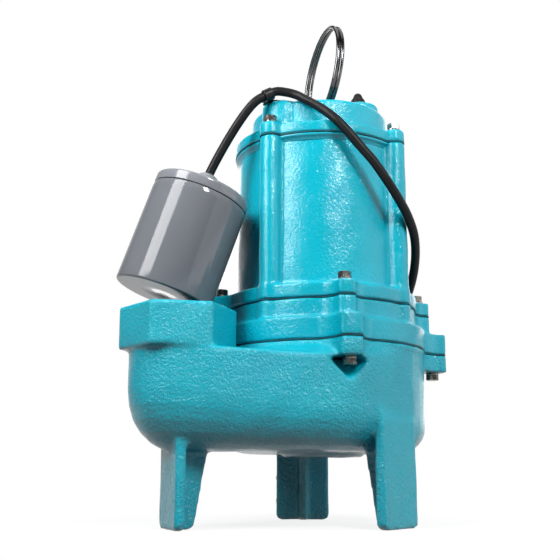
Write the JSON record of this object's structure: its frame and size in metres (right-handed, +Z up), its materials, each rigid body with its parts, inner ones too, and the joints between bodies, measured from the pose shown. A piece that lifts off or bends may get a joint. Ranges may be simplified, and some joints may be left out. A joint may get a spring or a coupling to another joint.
{
  "type": "submersible sewage pump",
  "caption": "Submersible sewage pump on cast legs with a hexagonal discharge port, a sealed motor, a lifting ring and a tethered tilt float switch.",
  "frame": {"origin": "middle of the pump's footprint on the floor, without its free cord", "axes": "+Z up along the motor shaft, -Y towards the front, +X to the right with the discharge port at -X"},
  "size_m": [0.2852, 0.4592, 0.4454],
  "materials": {
    "teal_enamel": "gloss",
    "gasket": "matt",
    "zinc": "satin",
    "bright_steel": "polished",
    "lamination_steel": "satin",
    "copper_winding": "satin",
    "cast_aluminium": "satin",
    "ceramic": "satin",
    "carbon": "matt",
    "black_rubber": "satin",
    "black_plastic": "satin",
    "iron": "matt",
    "brass_cage": "satin",
    "float_grey": "satin",
    "lid_grey": "satin",
    "tube_plastic": "satin",
    "brass": "polished"
  },
  "bodies": {
    "pump": {"volute_casing": "teal_enamel", "casing_gasket": "gasket", "seal_plate": "teal_enamel", "motor_gasket": "gasket", "motor_shell": "teal_enamel", "cap_gasket": "gasket", "top_cap": "teal_enamel", "casing_bolts": "zinc", "casing_bolt_washers": "zinc", "motor_bolts": "zinc", "motor_bolt_washers": "zinc", "cap_bolts": "zinc", "cap_bolt_washers": "zinc", "stator_core": "lamination_steel", "stator_windings": "copper_winding", "thermal_protector": "black_plastic", "bearing_bracket": "cast_aluminium", "run_capacitor": "cast_aluminium", "capacitor_clip": "zinc", "upper_bearing_outer_ring": "bright_steel", "lower_bearing_outer_ring": "bright_steel", "seal_seat": "ceramic", "power_cord_gland": "black_rubber", "cord_clip": "black_plastic", "clip_screw": "zinc", "switch_cord": "black_rubber", "switch_cord_hank": "black_rubber", "hank_tie": "black_plastic", "piggyback_plug": "black_rubber", "plug_blades": "brass"},
    "rotor": {"shaft": "bright_steel", "rotor_core": "lamination_steel", "rotor_end_rings": "cast_aluminium", "upper_bearing_inner_ring": "bright_steel", "lower_bearing_inner_ring": "bright_steel", "seal_head": "carbon", "seal_spring": "bright_steel", "impeller": "iron", "impeller_washer": "zinc", "impeller_nut": "brass"},
    "ball_sets": {"upper_bearing_balls": "bright_steel", "upper_bearing_cage": "brass_cage", "lower_bearing_balls": "bright_steel", "lower_bearing_cage": "brass_cage"},
    "ring": {"lifting_ring": "bright_steel"},
    "float": {"float_shell": "float_grey", "float_lid": "lid_grey", "float_seal": "gasket", "float_gland": "black_rubber", "ball_tube": "tube_plastic", "micro_switch": "black_plastic", "float_cord": "black_rubber"},
    "ball": {"tilt_ball": "bright_steel"},
    "lever": {"switch_lever": "brass"}
  },
  "joints": [
    {"name": "rotor_spin", "type": "hinge", "parent": "pump", "child": "rotor", "pos_m": [0.03302, 0, 0.2], "axis": [0, 0, 1], "continuous": true},
    {"name": "ball_sets_spin", "type": "hinge", "parent": "pump", "child": "ball_sets", "pos_m": [0.03302, 0, 0.2], "axis": [0, 0, 1], "continuous": true},
    {"name": "ring_swing", "type": "hinge", "parent": "pump", "child": "ring", "pos_m": [0.03352, 0, 0.3565], "axis": [-0.1219, 0.9925, 0], "range_deg": [-82, 82]},
    {"name": "float_swing", "type": "hinge", "parent": "pump", "child": "float", "pos_m": [-0.02198, -0.0505, 0.3546], "axis": [0, 1, 0], "range_deg": [0, 100], "deforming": ["float_cord"]},
    {"name": "ball_roll", "type": "slide", "parent": "float", "child": "ball", "axis": [0.3223, 0, 0.9466], "range_m": [0, 0.038]},
    {"name": "lever_press", "type": "hinge", "parent": "float", "child": "lever", "pos_m": [-0.07075, -0.0384, 0.24471], "axis": [0, 1, 0], "range_deg": [0, 6], "stiffness_Nm_per_rad": 0.01}
  ],
  "couplings": [
    {"joint": "ball_sets_spin", "follows": "rotor_spin", "ratio": 0.3842}
  ]
}
